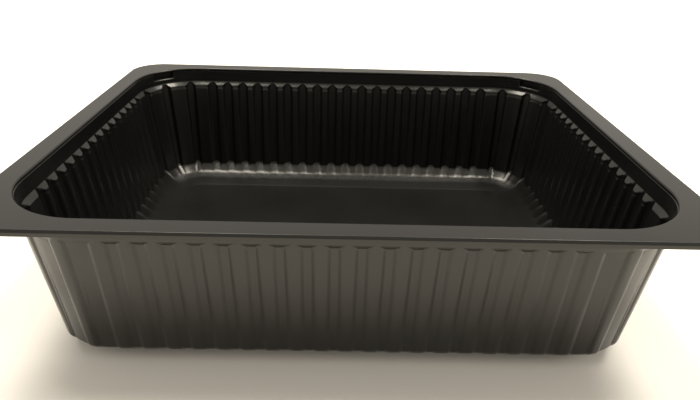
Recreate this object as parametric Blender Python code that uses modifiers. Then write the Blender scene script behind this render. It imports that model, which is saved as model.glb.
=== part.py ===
"""A half-size gastronorm tray, 325 x 265 x 85 mm, thermoformed from one sheet of black polypropylene.

The tray is one open surface, its inner and upper face, that Solidify thickens away from the food.
That face is lofted through rings that follow the tray from the rim's lip, over the flat flange and
down the fluted wall, over the foot's two slopes to the flat panel of the base. Metres, +Z up, the
origin under the middle of the base on the surface that the tray stands on.
"""

import math

import bmesh
import bpy
from mathutils import Matrix, Vector

MM = 0.001

# The sheet and the tray's overall size.
LENGTH = 325 * MM
WIDTH = 265 * MM
HEIGHT = 85 * MM
SHEET = 0.7 * MM

# The flange with its turned-down lip.
RIM_WIDTH = 11.4 * MM
RIM_CORNER_RADIUS = 21 * MM
LIP_DROP = 2.8 * MM
LIP_ROUND = 1.0 * MM
MOUTH_ROUND = 0.8 * MM

# The well below the mouth: a plain band, a sloping ledge, and a wall that leans in as it goes down.
WELL_CORNER_RADIUS = 39 * MM
BAND_DEPTH = 10.0 * MM
BAND_LEAN = 0.3 * MM
LEDGE_DROP = 2.8 * MM
WALL_SLOPE = 0.12

# The flutes, which stand out from the wall between the crests.
CREST_DEPTH_TOP = 2.8 * MM
CREST_DEPTH_FOOT = 2.1 * MM
LONG_FLUTES = 19
LONG_PITCH = 11.63 * MM
SHORT_FLUTES = 15
SHORT_PITCH = 10.62 * MM
CORNER_FLUTE_ANGLES = (15, 45, 75)
CORNER_CREST_ANGLES = (0, 30, 60, 90)

# Half widths of one flute, of its floor and across its shoulders.
ARCH_HALVES = (0.8 * MM, 1.7 * MM)
TOP_HALVES = (2.1 * MM, 3.5 * MM)
FOOT_HALVES = (1.5 * MM, 3.3 * MM)

# The pocket in each corner's band that a lid snaps into.
POCKET_ANGLES = (34, 56)
POCKET_SIDE_ANGLE = 1.2
POCKET_DEPTH = 1.5 * MM
POCKET_ROOF = HEIGHT - 2.0 * MM
POCKET_SILL = HEIGHT - 6.8 * MM
POCKET_SLOPE = 1.0 * MM
POCKET_ROOF_SLOPE = 0.2 * MM

# The foot: a steep slope that the flutes fade out on, then a shallow one down to the base's panel.
FOOT_HEIGHT = 11.0 * MM
FOOT_BEND = 1.0 * MM
FOOT_CREST_DEPTH = 1.8 * MM
FOOT_CREST_DROP = 0.45 * MM
SLOPE_INSET = 14.8 * MM
SLOPE_HEIGHT = 5.1 * MM

# The flat panel that the tray stands on, with a small step round it.
PANEL_INSET = 29.2 * MM
PANEL_STEP = 0.6 * MM
PANEL_STEP_WIDTH = 2.6 * MM

# Faces that meet at less than this are one flat face.
FLAT = math.radians(0.3)


def clear_scene():
    for item in list(bpy.data.objects):
        bpy.data.objects.remove(item, do_unlink=True)


def black_polypropylene():
    """Satin black, the colour that the sheet is dyed through with."""
    material = bpy.data.materials.new("black_polypropylene")
    material.use_nodes = True
    shader = material.node_tree.nodes["Principled BSDF"]
    shader.inputs["Base Color"].default_value = (0.018, 0.017, 0.015, 1)
    shader.inputs["Roughness"].default_value = 0.38
    shader.inputs["Metallic"].default_value = 0
    return material


def stations():
    """(side, along, angle, edge) of every column of the loft, anticlockwise from the front wall.

    Along is measured from the middle of a straight wall. It is None on a corner, where the angle counts.
    Edge says which edge of a flute a column is: -2 and 2 are its shoulders, -1 and 1 its floor's edges,
    and 0 is no edge, on the crest between two flutes.
    """
    flute = (-2, -1, 1, 2)
    columns = []
    for side in range(4):
        count, pitch = ((LONG_FLUTES, LONG_PITCH), (SHORT_FLUTES, SHORT_PITCH))[side % 2]
        for number in range(count):
            along = (number - (count - 1) / 2) * pitch
            columns += [(side, along, 0, edge) for edge in flute]
        corner = [(angle, edge) for angle in CORNER_FLUTE_ANGLES for edge in flute]
        corner += [(angle, 0) for angle in CORNER_CREST_ANGLES]
        for away, angle in zip((-1, 1), POCKET_ANGLES):
            corner += [(angle, 0), (angle + away * POCKET_SIDE_ANGLE, 0)]
        corner.sort(key=sum)
        columns += [(side, None, angle, edge) for angle, edge in corner]
    return columns


def ring(bm, columns, outline, height, halves=TOP_HALVES, depth=0.0, drop=0.0, pocket=0.0):
    """One ring of points round the tray, on a rounded rectangle given as (half length, half width, radius).

    The crests stand in from it by depth, and are lower by drop. Pocket is how far the lid's pockets
    stand out.
    """
    points = []
    for side, along, angle, edge in columns:
        half_x, half_y, radius = outline
        if side % 2:
            half_x, half_y = half_y, half_x
        offset = math.copysign(halves[abs(edge) - 1], edge) if edge else 0.0
        on_crest = abs(edge) != 1
        turn = math.radians(angle)
        if along is None:
            x = half_x - radius
            turn += offset / WELL_CORNER_RADIUS
        else:
            x = along + offset
        reach = radius - (depth if on_crest else 0.0)
        if POCKET_ANGLES[0] <= math.degrees(turn) <= POCKET_ANGLES[1]:
            reach += pocket
        local = Vector((x + reach * math.sin(turn), radius - half_y - reach * math.cos(turn), 0))
        spot = Matrix.Rotation(side * math.pi / 2, 3, "Z") @ local
        spot.z = height - (drop if on_crest else 0.0)
        points.append(bm.verts.new(spot))
    return points


def well(inset):
    """The well's outline, that far in from the mouth."""
    half_length = LENGTH / 2 - RIM_WIDTH - inset
    half_width = WIDTH / 2 - RIM_WIDTH - inset
    return half_length, half_width, WELL_CORNER_RADIUS - inset


def rim(inset):
    """The flange's outer outline, that far in from the lip."""
    return LENGTH / 2 - inset, WIDTH / 2 - inset, RIM_CORNER_RADIUS - inset


def rim_rings(bm, columns):
    return [
        ring(bm, columns, rim(0), HEIGHT - LIP_DROP),
        ring(bm, columns, rim(0), HEIGHT - LIP_ROUND),
        ring(bm, columns, rim(LIP_ROUND), HEIGHT),
        ring(bm, columns, well(-MOUTH_ROUND), HEIGHT),
        ring(bm, columns, well(0), HEIGHT - MOUTH_ROUND),
    ]


def band_rings(bm, columns):
    """The plain band, with the lid's pocket in the middle of each corner."""
    top = HEIGHT - MOUTH_ROUND
    fall = top - (HEIGHT - BAND_DEPTH)

    def band(height, **more):
        return ring(bm, columns, well(BAND_LEAN * (top - height) / fall), height, **more)

    return [
        band(POCKET_ROOF),
        band(POCKET_ROOF - POCKET_ROOF_SLOPE, pocket=POCKET_DEPTH),
        band(POCKET_SILL + POCKET_SLOPE, pocket=POCKET_DEPTH),
        band(POCKET_SILL),
        band(HEIGHT - BAND_DEPTH, halves=ARCH_HALVES),
    ]


def wall_rings(bm, columns):
    """The ledge, the fluted wall and the bend into the foot."""
    ledge = HEIGHT - BAND_DEPTH - LEDGE_DROP

    def wall_inset(height):
        return BAND_LEAN + (HEIGHT - BAND_DEPTH - height) * WALL_SLOPE

    bend_top = FOOT_HEIGHT + FOOT_BEND
    foot = well(wall_inset(FOOT_HEIGHT) + FOOT_BEND)
    return [
        ring(bm, columns, well(wall_inset(ledge)), ledge, TOP_HALVES, CREST_DEPTH_TOP),
        ring(bm, columns, well(wall_inset(bend_top)), bend_top, FOOT_HALVES, CREST_DEPTH_FOOT),
        ring(bm, columns, foot, FOOT_HEIGHT - FOOT_BEND, FOOT_HALVES, FOOT_CREST_DEPTH, FOOT_CREST_DROP),
    ]


def base_rings(bm, columns):
    return [
        ring(bm, columns, well(SLOPE_INSET), SLOPE_HEIGHT),
        ring(bm, columns, well(PANEL_INSET), SHEET + PANEL_STEP),
        ring(bm, columns, well(PANEL_INSET + PANEL_STEP_WIDTH), SHEET),
    ]


def tray_surface():
    """The tray's inner and upper face, from the lip's edge to the middle of the base."""
    bm = bmesh.new()
    columns = stations()
    rings = rim_rings(bm, columns) + band_rings(bm, columns) + wall_rings(bm, columns)
    rings += base_rings(bm, columns)
    for outer, inner in zip(rings, rings[1:]):
        for here in range(len(columns)):
            after = (here + 1) % len(columns)
            bm.faces.new((outer[here], outer[after], inner[after], inner[here]))
    bm.faces.new(rings[-1])
    bmesh.ops.dissolve_limit(bm, angle_limit=FLAT, verts=bm.verts[:], edges=bm.edges[:])
    mesh = bpy.data.meshes.new("tray")
    bm.to_mesh(mesh)
    bm.free()
    return mesh


def make_tray(collection):
    tray = bpy.data.objects.new("tray", tray_surface())
    collection.objects.link(tray)
    sheet = tray.modifiers.new("sheet", "SOLIDIFY")
    sheet.thickness = SHEET
    sheet.offset = -1
    tray.data.materials.append(black_polypropylene())
    return tray


def main():
    clear_scene()
    collection = bpy.data.collections.new("gastronorm_tray")
    bpy.context.scene.collection.children.link(collection)
    make_tray(collection)


main()
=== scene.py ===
# %% [markdown]
# # A half-size gastronorm tray
# Caterers pack food in trays of one agreed size, so that a tray from any maker drops into any counter,
# trolley or oven. This one is thermoformed: a sheet of black polypropylene is warmed until it sags, and
# a vacuum pulls it down into a mould. It is one piece, and all of its stiffness comes from its shape.
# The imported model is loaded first. It gives the size, and the tray made here has to fit inside it.
# %% Load the frame
import math

import bpy
from mathutils import Matrix, Vector


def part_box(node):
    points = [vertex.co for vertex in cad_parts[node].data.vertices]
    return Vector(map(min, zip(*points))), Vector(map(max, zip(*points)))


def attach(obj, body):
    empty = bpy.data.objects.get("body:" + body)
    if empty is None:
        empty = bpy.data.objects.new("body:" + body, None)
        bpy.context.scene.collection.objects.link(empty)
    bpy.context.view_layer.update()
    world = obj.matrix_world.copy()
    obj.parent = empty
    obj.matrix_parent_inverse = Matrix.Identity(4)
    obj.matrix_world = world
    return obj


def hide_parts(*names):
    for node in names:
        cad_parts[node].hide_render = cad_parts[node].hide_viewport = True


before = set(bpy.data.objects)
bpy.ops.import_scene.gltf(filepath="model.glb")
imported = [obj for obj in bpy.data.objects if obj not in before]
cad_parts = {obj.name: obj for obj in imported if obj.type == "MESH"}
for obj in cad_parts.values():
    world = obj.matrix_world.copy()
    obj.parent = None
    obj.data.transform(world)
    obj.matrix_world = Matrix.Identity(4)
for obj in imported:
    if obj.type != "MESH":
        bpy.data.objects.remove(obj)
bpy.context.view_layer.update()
low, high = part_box("tray")
print("tray, mm:", [round((b - a) * 1000, 1) for a, b in zip(low, high)])

# %% [markdown]
# The driving sizes come from the frame, and the rest are the ones that a mould maker would write on a
# drawing: a flat flange to hang the tray by, a plain band for the lid, a sloping ledge, a wall that
# leans in so that the tray leaves its mould and nests in the next one, and a rounded foot. They could
# be typed in where they are used, but one list at the top keeps every piece in step when one changes.
# %% Sizes
MM = 0.001
LENGTH = high[0] - low[0]
WIDTH = high[1] - low[1]
HEIGHT = high[2]
SHEET = 0.7 * MM

RIM_WIDTH = 11.4 * MM
RIM_CORNER_RADIUS = 21 * MM
LIP_DROP = 2.8 * MM
LIP_ROUND = 1.0 * MM
MOUTH_ROUND = 0.8 * MM

WELL_CORNER_RADIUS = 39 * MM
BAND_BOTTOM = HEIGHT - 10.0 * MM
BAND_LEAN = 0.3 * MM
WALL_SLOPE = 0.12
FOOT_HEIGHT = 11.0 * MM
SLOPE_BOTTOM = (14.8 * MM, 5.1 * MM)
BORDER_MIDDLE = (21.0 * MM, 2.85 * MM)
FOOT_BENDS = (3.5 * MM, 11.0 * MM, 25.0 * MM)
PANEL_INSET = 29.2 * MM
PANEL_STEP = 0.6 * MM
print("band bottom at", round(BAND_BOTTOM / MM, 1), "mm, wall leans 1 in", round(1 / WALL_SLOPE, 1))

# %% [markdown]
# The wall is fluted, as corrugated card is, because a flat wall of sheet this thin would flap. The
# flutes stand out from the tray and the crests between them stand in. Each wall has its own spacing,
# so that whole flutes fit between the corners, and every corner has three of its own. Outside, the
# drawn sheet mostly fills the gaps between them, so the grooves there are shallower than inside.
# One flute could be shared by all walls as a copied mesh. A rule in numbers was chosen, since a flute
# changes all the way down: narrow in its arched head, wider in the wall, and faded out in the foot.
# %% Flutes
FLUTES = {"long": (19, 11.63 * MM), "short": (15, 10.62 * MM)}
CORNER_FLUTES = (15, 45, 75)
CREST_TOP = 2.8 * MM
CREST_FOOT = 2.1 * MM
CREST_ON_SLOPE = 0.9 * MM
ARCH_HALVES = (0.5 * MM, 1.9 * MM)
TOP_HALVES = (2.3 * MM, 4.2 * MM)
FOOT_HALVES = (1.3 * MM, 4.4 * MM)
ACROSS = [offset * MM for offset in (-4.4, -3.8, -3.2, -2.6, -1.9, -1.0, 0, 1.0, 1.9, 2.6, 3.2, 3.8, 4.4)]


def between(first, last, part):
    return first + (last - first) * part


def ease(part):
    """Slides from 0 to 1 with a rounded start and finish."""
    part = min(max(part, 0), 1)
    return part * part * (3 - 2 * part)


def soft_lower(a, b, blend=0.5 * MM):
    """The lower of two heights, with the crease between them rounded."""
    near = max(blend - abs(a - b), 0) / blend
    return min(a, b) - near * near * blend / 4


for name, (count, pitch) in FLUTES.items():
    print(name, "wall:", count, "flutes over", round((count - 1) * pitch / MM), "mm")

# %% [markdown]
# A modeller could array one flute along each wall and bridge the corners, but the seams between the
# arrays would show in a glossy wall. A sheet is nearer to how the tray is made: a flat grid has one
# column for every upright line round the tray and one row for every level from the lip to the base,
# and then each point is pressed to its place. This cell lists the columns. They crowd together where a
# flute's side turns quickly and spread out on its flat parts.
# %% Columns round the tray
POCKET_ANGLES = (34, 56)
POCKET_SIDE = 1.3
CREST_ANGLES = (0, 4, 24, 28, 31, 59, 62, 66, 86, 90)


def wall_columns(side):
    """(side, along, angle, distance to the nearest flute's middle) along one straight wall."""
    count, pitch = FLUTES["short" if side % 2 else "long"]
    found = []
    for number in range(count):
        middle = (number - (count - 1) / 2) * pitch
        found += [(side, middle + offset, 0, abs(offset)) for offset in ACROSS]
        if number < count - 1:
            found.append((side, middle + pitch / 2, 0, pitch / 2))
    return found


def corner_columns(side):
    """The same round the corner that follows the wall."""
    def turned(offset):
        return math.degrees(offset / WELL_CORNER_RADIUS)

    angles = [flute + turned(offset) for flute in CORNER_FLUTES for offset in ACROSS]
    for edge, away in zip(POCKET_ANGLES, (-1, 1)):
        angles += [edge, edge + away * POCKET_SIDE]
    angles += CREST_ANGLES
    return [(side, None, angle, nearest_flute(angle)) for angle in sorted(angles)]


def nearest_flute(angle):
    return min(abs(math.radians(angle - flute)) for flute in CORNER_FLUTES) * WELL_CORNER_RADIUS


columns = []
for side in range(4):
    columns += wall_columns(side) + corner_columns(side)
print(len(columns), "columns")

# %% [markdown]
# The rows are the tray's section, read from the edge of the lip to the middle of the base. A bevel
# could round the bends afterwards. Here the bends get rows of their own, because a bend in plastic
# sheet is what catches the light and its exact radius matters. The lip is folded down over a narrow
# slope along the two long sides, and over a tighter corner along the two short ones.
# %% Rows down the section
def rim(inset, height, **more):
    outline = (LENGTH / 2 - inset, WIDTH / 2 - inset, RIM_CORNER_RADIUS - inset)
    return {"outline": outline, "height": height, **more}


def well(inset, height, **more):
    reach = RIM_WIDTH + inset
    outline = (LENGTH / 2 - reach, WIDTH / 2 - reach, WELL_CORNER_RADIUS - inset)
    return {"outline": outline, "height": height, **more}


def bend(row, start, end, middle, radius, steps):
    """Rows round a bend: from angle start to end, where 0 faces out, 90 up and 180 into the well."""
    turns = [math.radians(between(start, end, step / steps)) for step in range(steps + 1)]
    return [row(middle[0] - radius * math.cos(t), middle[1] + radius * math.sin(t)) for t in turns]


LIP_EDGE = 0.3 * MM
FLAT_FROM_LIP = 0.8 * MM
FLAT_FROM_WELL = 1.7 * MM
# Each point of the lip's bend: in from the edge, down from the top, and in from it on the short sides.
LIP_CORNER = (
    (0, 1.25, 0),
    (0.04, 1.02, 0),
    (0.16, 0.84, 0.02),
    (0.88, 0.11, 0.15),
    (1.0, 0.02, 0.4),
    (1.1, 0, 0.8),
)
lip_rows = [rim(0, HEIGHT - LIP_DROP), rim(0, HEIGHT - LIP_DROP + LIP_EDGE)]
for across, down, at_ends in LIP_CORNER:
    wider = LIP_ROUND * (across - at_ends)
    lip_rows.append(rim(LIP_ROUND * across, HEIGHT - LIP_ROUND * down, at_ends=wider))
flange_rows = [rim(LIP_ROUND + FLAT_FROM_LIP, HEIGHT), well(-FLAT_FROM_WELL, HEIGHT)]
mouth_rows = bend(well, 90, 180, (-MOUTH_ROUND, HEIGHT - MOUTH_ROUND), MOUTH_ROUND, steps=3)
rows = lip_rows + flange_rows + mouth_rows
print(len(rows), "rows on the lip and the flange")

# %% [markdown]
# The band is the plain strip under the mouth, and its groove and corner pockets are what a lid clicks
# into. The lid's groove steps back at its top, and in each corner the pocket stands out from it, with
# a short roof above and a sloping sill below. The pockets could be cut with a Boolean, which would
# leave long thin faces round the cut. As rows of the sheet they keep its even thickness.
# %% Rows of the band
FLUTE_RISE = 0.3 * MM
GROOVE_DEPTH = 0.9 * MM
POCKET_DEPTH = 3.0 * MM
POCKET_TOP = HEIGHT - 1.6 * MM
POCKET_SILL = HEIGHT - 6.6 * MM
POCKET_SLOPE = 1.3 * MM
GROOVE_BOTTOM = POCKET_TOP - 0.5 * MM
TIGHT = 0.2 * MM
SILL_CURVE = 0.3 * MM


def band(height, pocket=0.0, groove=0.0):
    done = (HEIGHT - MOUTH_ROUND - height) / (HEIGHT - MOUTH_ROUND - BAND_BOTTOM)
    beyond = pocket - groove if pocket else 0.0
    return well(BAND_LEAN * done - groove, height, pocket=beyond, raised=FLUTE_RISE)


rows += [
    band(HEIGHT - MOUTH_ROUND - TIGHT, groove=GROOVE_DEPTH),
    band(POCKET_TOP, groove=GROOVE_DEPTH),
    band(POCKET_TOP - TIGHT, groove=GROOVE_DEPTH / 2, pocket=POCKET_DEPTH),
    band(GROOVE_BOTTOM, pocket=POCKET_DEPTH),
    band(POCKET_SILL + POCKET_SLOPE, pocket=POCKET_DEPTH),
    band(POCKET_SILL + TIGHT, pocket=SILL_CURVE),
    band(POCKET_SILL - TIGHT),
]
print(len(rows), "rows down to the band")

# %% [markdown]
# Under the band the crests step in over a ledge at 45 degrees. A flute's rounded trough cuts through
# that slope, which is what gives it its arched head. The arch could be drawn as a curve. It isn't: it
# is what is left when the lower of the two shapes is kept, as a cutter leaves it in the mould. At the
# foot the wall rolls into the base and the flutes fade out on two gentle slopes.
# %% Rows of the ledge, the wall and the foot
LEDGE_BLEND = 0.3 * MM
STEP_DROP = 4.6 * MM
STEP_DEPTH = 0.3 * MM
STEP_WIDTH = 1.0 * MM
ARCH_DROP = 3.2 * MM
LEDGE_ROWS = (-2.8, -2.4, -1.9, -0.8, -0.2)
LEDGE_ROWS += (0.1, 0.4, 0.7, 1.0, 1.3, 1.6, 1.9, 2.2, 2.5, 2.8, 3.2, 4.0, 4.6, 5.2)
WALL_ROWS = (60, 50, 40, 30, 20, 16)
ABOVE_FOOT = 20 * MM


def wall_inset(height):
    return BAND_LEAN + max(BAND_BOTTOM - height, 0) * WALL_SLOPE


def fluted_row(inset, height):
    down = min(max((BAND_BOTTOM - height) / (BAND_BOTTOM - FOOT_HEIGHT), 0), 1)
    drop = BAND_BOTTOM - height
    ledge = (drop + math.hypot(drop, LEDGE_BLEND)) / 2
    crest = between(CREST_TOP, CREST_FOOT, down)
    crest -= STEP_DEPTH * (1 - ease((drop - STEP_DROP) / STEP_WIDTH + 0.5))
    arch = ease(drop / ARCH_DROP)
    sizes = zip(ARCH_HALVES, TOP_HALVES, FOOT_HALVES)
    halves = [between(between(head, top, arch), foot, down) for head, top, foot in sizes]
    fading = (height - BORDER_MIDDLE[1]) / (FOOT_HEIGHT - BORDER_MIDDLE[1])
    on_slope = CREST_ON_SLOPE * min(max(fading, 0), 1)
    return well(inset, height, drop=drop, halves=halves, ledge=ledge, crest=crest, on_slope=on_slope)


def rounded(points, radii, steps):
    """The corners of a line of (inset, height) points, each turned into a bend."""
    bends = []
    for before, corner, after, radius in zip(points, points[1:], points[2:], radii):
        corner = Vector(corner)
        back, on = (Vector(before) - corner).normalized(), (Vector(after) - corner).normalized()
        half = back.angle(on) / 2
        middle = corner + (back + on).normalized() * radius / math.sin(half)
        first, last = (corner + way * radius / math.tan(half) - middle for way in (back, on))
        turn = first.angle_signed(last)
        turns = [Matrix.Rotation(-turn * step / steps, 2) for step in range(steps + 1)]
        bends.append([middle + turned @ first for turned in turns])
    return bends


section = [
    (wall_inset(ABOVE_FOOT), ABOVE_FOOT),
    (wall_inset(FOOT_HEIGHT), FOOT_HEIGHT),
    SLOPE_BOTTOM,
    BORDER_MIDDLE,
    (PANEL_INSET, SHEET + PANEL_STEP),
]
heel, slope_end, border_bend = rounded(section, FOOT_BENDS, steps=5)
slope = [heel[-1].lerp(slope_end[0], part / 4) for part in range(1, 4)]
rows += [fluted_row(wall_inset(h), h) for h in (BAND_BOTTOM - drop * MM for drop in LEDGE_ROWS)]
rows += [fluted_row(wall_inset(h), h) for h in (height * MM for height in WALL_ROWS)]
rows += [fluted_row(*point) for point in heel + slope + slope_end]
rows += [well(*point) for point in border_bend]
print(len(rows), "rows down to the border")

# %% [markdown]
# The middle of the base is a flat panel, a small step lower than the border round it, and it is what
# the tray stands on. The step keeps the base from drumming. An inset and a push down would give it a
# crisp edge, but sheet draws softly over so low a step, so it is a few rows with a bend above and below.
# %% Rows of the base
PANEL_EDGE = ((-1.6, 1.45), (-0.3, 1.07), (0.5, 0.86), (2.1, 0.22), (2.9, 0.05), (4.2, 0.04))
rows += [well(PANEL_INSET + across * MM, SHEET + PANEL_STEP * up) for across, up in PANEL_EDGE]
print(len(rows), "rows in all, panel", round((LENGTH / 2 - RIM_WIDTH - PANEL_INSET) * 2 / MM), "mm long")

# %% [markdown]
# Now the flat sheet is added and pressed to shape. A point's column says where it is on the way round
# and its row says which outline it is on. On a crest it also stands in from that outline. How far the
# outside is to lie further out goes into a vertex group, for the step that thickens the sheet. The same
# could be sculpted or built face by face, but a grid keeps its rows and columns straight.
# %% Press the sheet
BRIDGED = 0.75
GROOVE_EDGE = (2.3 * MM, 4.4 * MM)
GROOVE_RISE = 2.6 * MM
GROOVE_START = 0.5 * MM


def stand_in(row, distance):
    """How far a crest stands in from the flutes' surface at that distance from a flute's middle."""
    if "crest" not in row:
        return 0.0
    floor, shoulder = row["halves"]
    share = ease((distance - floor) / (shoulder - floor))
    past_wall = WELL_CORNER_RADIUS - row["outline"][2] - wall_inset(row["height"])
    deepest = -soft_lower(past_wall - row["crest"], -row["on_slope"])
    return max(soft_lower(share * deepest, row["ledge"]), 0)


def out_shift(row, distance):
    """How much further out than the pressed face's the outer face's points lie."""
    if "crest" not in row:
        return row.get("raised", 0.0)
    first, last = GROOVE_EDGE
    groove = ease((distance - first) / (last - first)) * ease((row["drop"] + GROOVE_RISE) / GROOVE_START)
    return FLUTE_RISE * (1 - groove) + BRIDGED * stand_in(row, distance)


def place(column, row):
    side, along, angle, distance = column
    half_x, half_y, radius = row["outline"]
    inwards = stand_in(row, distance)
    if side % 2:
        half_x, half_y = half_y, half_x
    in_pocket = POCKET_ANGLES[0] <= angle <= POCKET_ANGLES[1]
    turn = math.radians(angle)
    reach = radius - inwards + (row.get("pocket", 0.0) if in_pocket else 0.0)
    reach += row.get("at_ends", 0.0) * (math.cos(turn) if side % 2 else math.sin(turn)) ** 2
    x = (half_x - radius if along is None else along) + reach * math.sin(turn)
    y = radius - half_y - reach * math.cos(turn)
    spot = Matrix.Rotation(side * math.pi / 2, 3, "Z") @ Vector((x, y, 0))
    spot.z = row["height"]
    return spot


def deselect_all():
    bpy.ops.object.select_all(action="DESELECT")


# A point's weight runs from 0 to 1, and 1 stands for this shift.
FULL_SHIFT = 3.0 * MM
deselect_all()
bpy.ops.mesh.primitive_grid_add(x_subdivisions=len(columns), y_subdivisions=len(rows) - 1, size=1)
tray = bpy.context.object
tray.name = "tray_sheet"
outer_shift = tray.vertex_groups.new(name="outer shift")
points = sorted(tray.data.vertices, key=lambda v: (round(-v.co.y, 5), round(v.co.x, 5)))
for number, point in enumerate(points):
    level, way_round = divmod(number, len(columns) + 1)
    column, row = columns[way_round % len(columns)], rows[level]
    point.co = place(column, row)
    outer_shift.add([point.index], out_shift(row, column[3]) / FULL_SHIFT, "REPLACE")
print("sheet of", len(points), "points pressed")

# %% [markdown]
# The sheet's two ends now lie on each other, so they are welded, and the hole that is left in the
# middle of the base is filled. Limited Dissolve then takes out the edges that lie in flat areas. They
# could stay, but a flat flange or panel of one face each shades without a ripple.
# %% Close the sheet
def edit(*steps):
    """Runs edit-mode steps on the whole mesh, or on what is selected if the first is None."""
    bpy.ops.object.mode_set(mode="EDIT")
    if steps[0] is not None:
        bpy.ops.mesh.select_all(action="SELECT")
    for step in steps:
        if step is not None:
            step()
    bpy.ops.mesh.select_all(action="DESELECT")
    bpy.ops.object.mode_set(mode="OBJECT")


SAME_PLACE = 0.01 * MM
SLACK = 0.1 * MM
FLAT = math.radians(0.2)

bpy.context.tool_settings.mesh_select_mode = (True, False, False)
edit(lambda: bpy.ops.mesh.remove_doubles(threshold=SAME_PLACE))
half_x, half_y, _ = rows[-1]["outline"]
for point in tray.data.vertices:
    point.select = abs(point.co.x) < half_x + SLACK and abs(point.co.y) < half_y + SLACK
edit(None, bpy.ops.mesh.edge_face_add)
edit(lambda: bpy.ops.mesh.dissolve_limited(angle_limit=FLAT))
print(len(tray.data.polygons), "faces, the largest", round(max(f.area for f in tray.data.polygons), 4), "m2")

# %% [markdown]
# The faces are turned to look up and inwards, and Solidify gives the sheet its thickness on the far
# side, so that the pressed face keeps its exact size. The new outer points then move level and outwards
# by what the vertex group holds. Solidify can read that group too, but it would push each point square
# to the flutes' sides and crease the grooves. Weighted Normal lets the flat areas shade flat right up
# to the bends.
# %% Thicken and smooth
edit(lambda: bpy.ops.mesh.normals_make_consistent(inside=False))
if max(tray.data.polygons, key=lambda face: face.area).normal.z < 0:
    edit(bpy.ops.mesh.flip_normals)
pressed = len(tray.data.vertices)
thickness = tray.modifiers.new("sheet", "SOLIDIFY")
thickness.thickness = SHEET
thickness.offset = -1
bpy.ops.object.modifier_apply(modifier=thickness.name)


def way_out(spot):
    """The level way out of the well, square to its outline."""
    half_x, half_y = (size / 2 - RIM_WIDTH - WELL_CORNER_RADIUS for size in (LENGTH, WIDTH))
    nearest = Vector((min(max(spot.x, -half_x), half_x), min(max(spot.y, -half_y), half_y), spot.z))
    return (spot - nearest).normalized()


for point in list(tray.data.vertices)[pressed:]:
    point.co += way_out(point.co) * sum(share.weight for share in point.groups) * FULL_SHIFT
print("sheet thickened,", len(tray.data.vertices) - pressed, "points on its outer face")
SHARPEST_BEND = math.radians(50)
bpy.ops.object.shade_smooth_by_angle(angle=SHARPEST_BEND)
shading = tray.modifiers.new("flat areas", "WEIGHTED_NORMAL")
shading.keep_sharp = True
bpy.ops.object.modifier_apply(modifier=shading.name)
print("tray has", sum(len(face.vertices) - 2 for face in tray.data.polygons), "triangles")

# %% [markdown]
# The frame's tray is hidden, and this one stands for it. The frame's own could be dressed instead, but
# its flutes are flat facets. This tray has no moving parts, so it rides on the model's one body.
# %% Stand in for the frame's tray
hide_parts("tray")
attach(tray, "root")
print("replaces the frame's tray")

# %% [markdown]
# Black polypropylene sheet is dyed through with carbon black. Its skin is a little waxy: satin, not
# polished, with a very fine grain where it touched the mould. Polypropylene's index of refraction is
# 1.49. What the eye reads is nearly all reflection, so roughness and bump matter more than colour. An
# image could give it, but patterns made of noise have no seams and follow the tray at any size.
# %% Helpers for materials
def srgb(code):
    """A hex colour as linear values."""
    parts = [int(code[at : at + 2], 16) / 255 for at in (1, 3, 5)]
    linear = [p / 12.92 if p <= 0.04045 else ((p + 0.055) / 1.055) ** 2.4 for p in parts]
    return (*linear, 1.0)


def add_node(material, kind, settings=None, **inputs):
    """Adds a node. An input is a value, or the socket that feeds it."""
    node = material.node_tree.nodes.new(kind)
    for name, value in (settings or {}).items():
        setattr(node, name, value)
    for name, value in inputs.items():
        socket = node.inputs[name.replace("_", " ")]
        if isinstance(value, bpy.types.NodeSocket):
            material.node_tree.links.new(value, socket)
        else:
            socket.default_value = value
    return node


print("a black of #111110 is", round(srgb("#111110")[0], 4), "of white")

# %% [markdown]
# Three patterns make the skin. A broad, soft cloud is where the sheet drew out unevenly over the mould
# and its gloss changes. A fine grain is the mould's own texture, drawn at 0.5 mm because the real
# 0.1 mm would not show. Sparse specks are dust and handling marks, duller than the rest.
# %% Thermoformed black polypropylene
CLOUD_SIZE = 45 * MM
GRAIN_SIZE = 0.5 * MM
SPECK_SIZE = 3 * MM

skin = bpy.data.materials.new("thermoformed_black_polypropylene")
skin.use_nodes = True
shader = skin.node_tree.nodes["Principled BSDF"]
shader.inputs["IOR"].default_value = 1.49
shader.inputs["Metallic"].default_value = 0
shader.inputs["Specular Tint"].default_value = srgb("#fffdf6")
where = add_node(skin, "ShaderNodeTexCoord").outputs["Object"]
cloud = add_node(skin, "ShaderNodeTexNoise", Vector=where, Scale=1 / CLOUD_SIZE, Detail=3.0)
grain = add_node(skin, "ShaderNodeTexNoise", Vector=where, Scale=1 / GRAIN_SIZE, Detail=2.0)
speck = add_node(skin, "ShaderNodeTexNoise", Vector=where, Scale=1 / SPECK_SIZE, Detail=4.0)
print("skin patterns at", CLOUD_SIZE, GRAIN_SIZE, SPECK_SIZE, "m")

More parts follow.
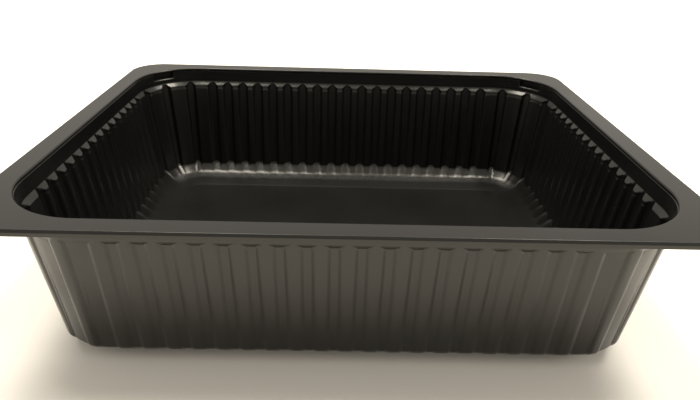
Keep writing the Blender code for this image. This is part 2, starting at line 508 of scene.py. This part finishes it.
# %% [markdown]
# The cloud and the specks add up to the roughness, near 0.3, where a strip of light stays a strip but
# loses its hard edge. The colour barely moves, from one near black to the next, because real sheet is
# coloured right through. The grain is a bump, and not real relief, since it is finer than the sheet.
# %% Gloss, colour and grain
gloss = add_node(
    skin, "ShaderNodeMapRange", Value=cloud.outputs["Fac"],
    From_Min=0.3, From_Max=0.7, To_Min=0.27, To_Max=0.31,
)
dust = add_node(
    skin, "ShaderNodeMapRange", Value=speck.outputs["Fac"],
    From_Min=0.66, From_Max=0.76, To_Min=0.0, To_Max=0.03,
)
roughness = add_node(skin, "ShaderNodeMath", {"operation": "ADD"})
skin.node_tree.links.new(gloss.outputs["Result"], roughness.inputs[0])
skin.node_tree.links.new(dust.outputs["Result"], roughness.inputs[1])
skin.node_tree.links.new(roughness.outputs["Value"], shader.inputs["Roughness"])
colour = add_node(skin, "ShaderNodeMix", {"data_type": "RGBA"}, Factor=cloud.outputs["Fac"])
colour.inputs[6].default_value = srgb("#0c0c0c")
colour.inputs[7].default_value = srgb("#111110")
skin.node_tree.links.new(colour.outputs[2], shader.inputs["Base Color"])
bump = add_node(
    skin, "ShaderNodeBump", Height=grain.outputs["Fac"], Strength=0.12, Distance=0.05 * MM,
)
skin.node_tree.links.new(bump.outputs["Normal"], shader.inputs["Normal"])
tray.data.materials.clear()
tray.data.materials.append(skin)
print("skin:", len(skin.node_tree.nodes), "nodes")

# %% [markdown]
# The stage is a plain pale floor, large enough to fill the view. A curved backdrop could hide its end,
# but from above the floor alone fills the picture. It is warm and light, and the tray's front wall
# leans towards it, so what that wall shows is the floor and the tray's own shadow on it.
# %% Floor
FLOOR_SIZE = 8
deselect_all()
bpy.ops.mesh.primitive_plane_add(size=FLOOR_SIZE, location=(0, 0, 0))
floor = bpy.context.object
floor.name = "floor"
pale = bpy.data.materials.new("pale_floor")
pale.use_nodes = True
pale_shader = pale.node_tree.nodes["Principled BSDF"]
pale_shader.inputs["Base Color"].default_value = srgb("#f6f2ea")
pale_shader.inputs["Roughness"].default_value = 0.9
pale_shader.inputs["Specular IOR Level"].default_value = 0.1
floor.data.materials.append(pale)
print("floor laid")

# %% [markdown]
# A satin black surface shows its surroundings, so the brightness above and round the tray is what
# shapes it. Two lamps overhead, as in a kitchen ceiling, draw the line along the foot, and dim pale
# walls on all sides give the flange and the flutes their tone. A picture of a room could light it
# all, but lamps of a known size and place are easier to move one at a time.
# %% Light
world = bpy.data.worlds.new("soft_room")
bpy.context.scene.world = world
world.use_nodes = True
room = world.node_tree.nodes["Background"]
room.inputs["Color"].default_value = (1.0, 0.93, 0.83, 1.0)
room.inputs["Strength"].default_value = 0.55


def softbox(name, spot, target, size, power, colour):
    deselect_all()
    bpy.ops.object.light_add(type="AREA", location=spot)
    lamp = bpy.context.object
    lamp.name = name
    lamp.data.shape = "RECTANGLE"
    lamp.data.size, lamp.data.size_y = size
    lamp.data.energy = power
    lamp.data.color = colour
    lamp.rotation_euler = (Vector(target) - Vector(spot)).to_track_quat("-Z", "Y").to_euler()
    return lamp


WARM = (1.0, 0.945, 0.85)
softbox("ceiling left", (-0.5, 0.35, 2.0), (0, 0, 0), (1.1, 0.6), 40, WARM)
softbox("ceiling right", (0.8, 0.35, 2.0), (0, 0, 0), (0.9, 0.6), 40, WARM)
softbox("far wall", (-0.4, 3.2, 1.7), (0, 0, 0.3), (4.5, 1.6), 7, WARM)
softbox("near wall", (0, -3.0, 1.0), (0, 0, 0.1), (3.0, 1.5), 3, WARM)
softbox("left wall", (-3.0, -0.8, 1.0), (0, 0, 0.1), (2.5, 1.4), 10, WARM)
softbox("right window", (1.9, 2.6, 1.0), (0, 0, 0), (1.2, 1.2), 1.6, WARM)
softbox("side window", (2.3, -0.9, 1.2), (0, 0, 0), (1.2, 1.2), 12, WARM)
print("room and ceiling lit")

# %% [markdown]
# The camera looks down into the tray from a little over its near edge, close enough for the sides to
# spread towards the lens. It is tilted by a degree or two, as a hand-held one is. It could be aimed with
# a tracking constraint. Three turns were chosen, because they also hold the tilt.
# %% Camera
CAMERA_SPOT = (-0.0043, -0.3292, 0.1999)
LOOK_DOWN = 28.11
LOOK_RIGHT = 1.21
ROLL = -1.73
FOCAL_PIXELS = 582.7
FRAME_WIDTH = 700
FRAME_SHIFT = 15.0

deselect_all()
bpy.ops.object.camera_add(location=CAMERA_SPOT)
camera = bpy.context.object
aim = Matrix.Rotation(-math.radians(LOOK_RIGHT), 3, "Z")
aim = aim @ Matrix.Rotation(math.radians(90 - LOOK_DOWN), 3, "X")
aim = aim @ Matrix.Rotation(-math.radians(ROLL), 3, "Z")
camera.rotation_euler = aim.to_euler()
camera.data.lens = FOCAL_PIXELS / FRAME_WIDTH * camera.data.sensor_width
camera.data.shift_y = FRAME_SHIFT / FRAME_WIDTH
camera.data.clip_start = 0.01
bpy.context.scene.camera = camera
bpy.context.scene.view_settings.view_transform = "Standard"
print("camera lens", round(camera.data.lens, 1), "mm")
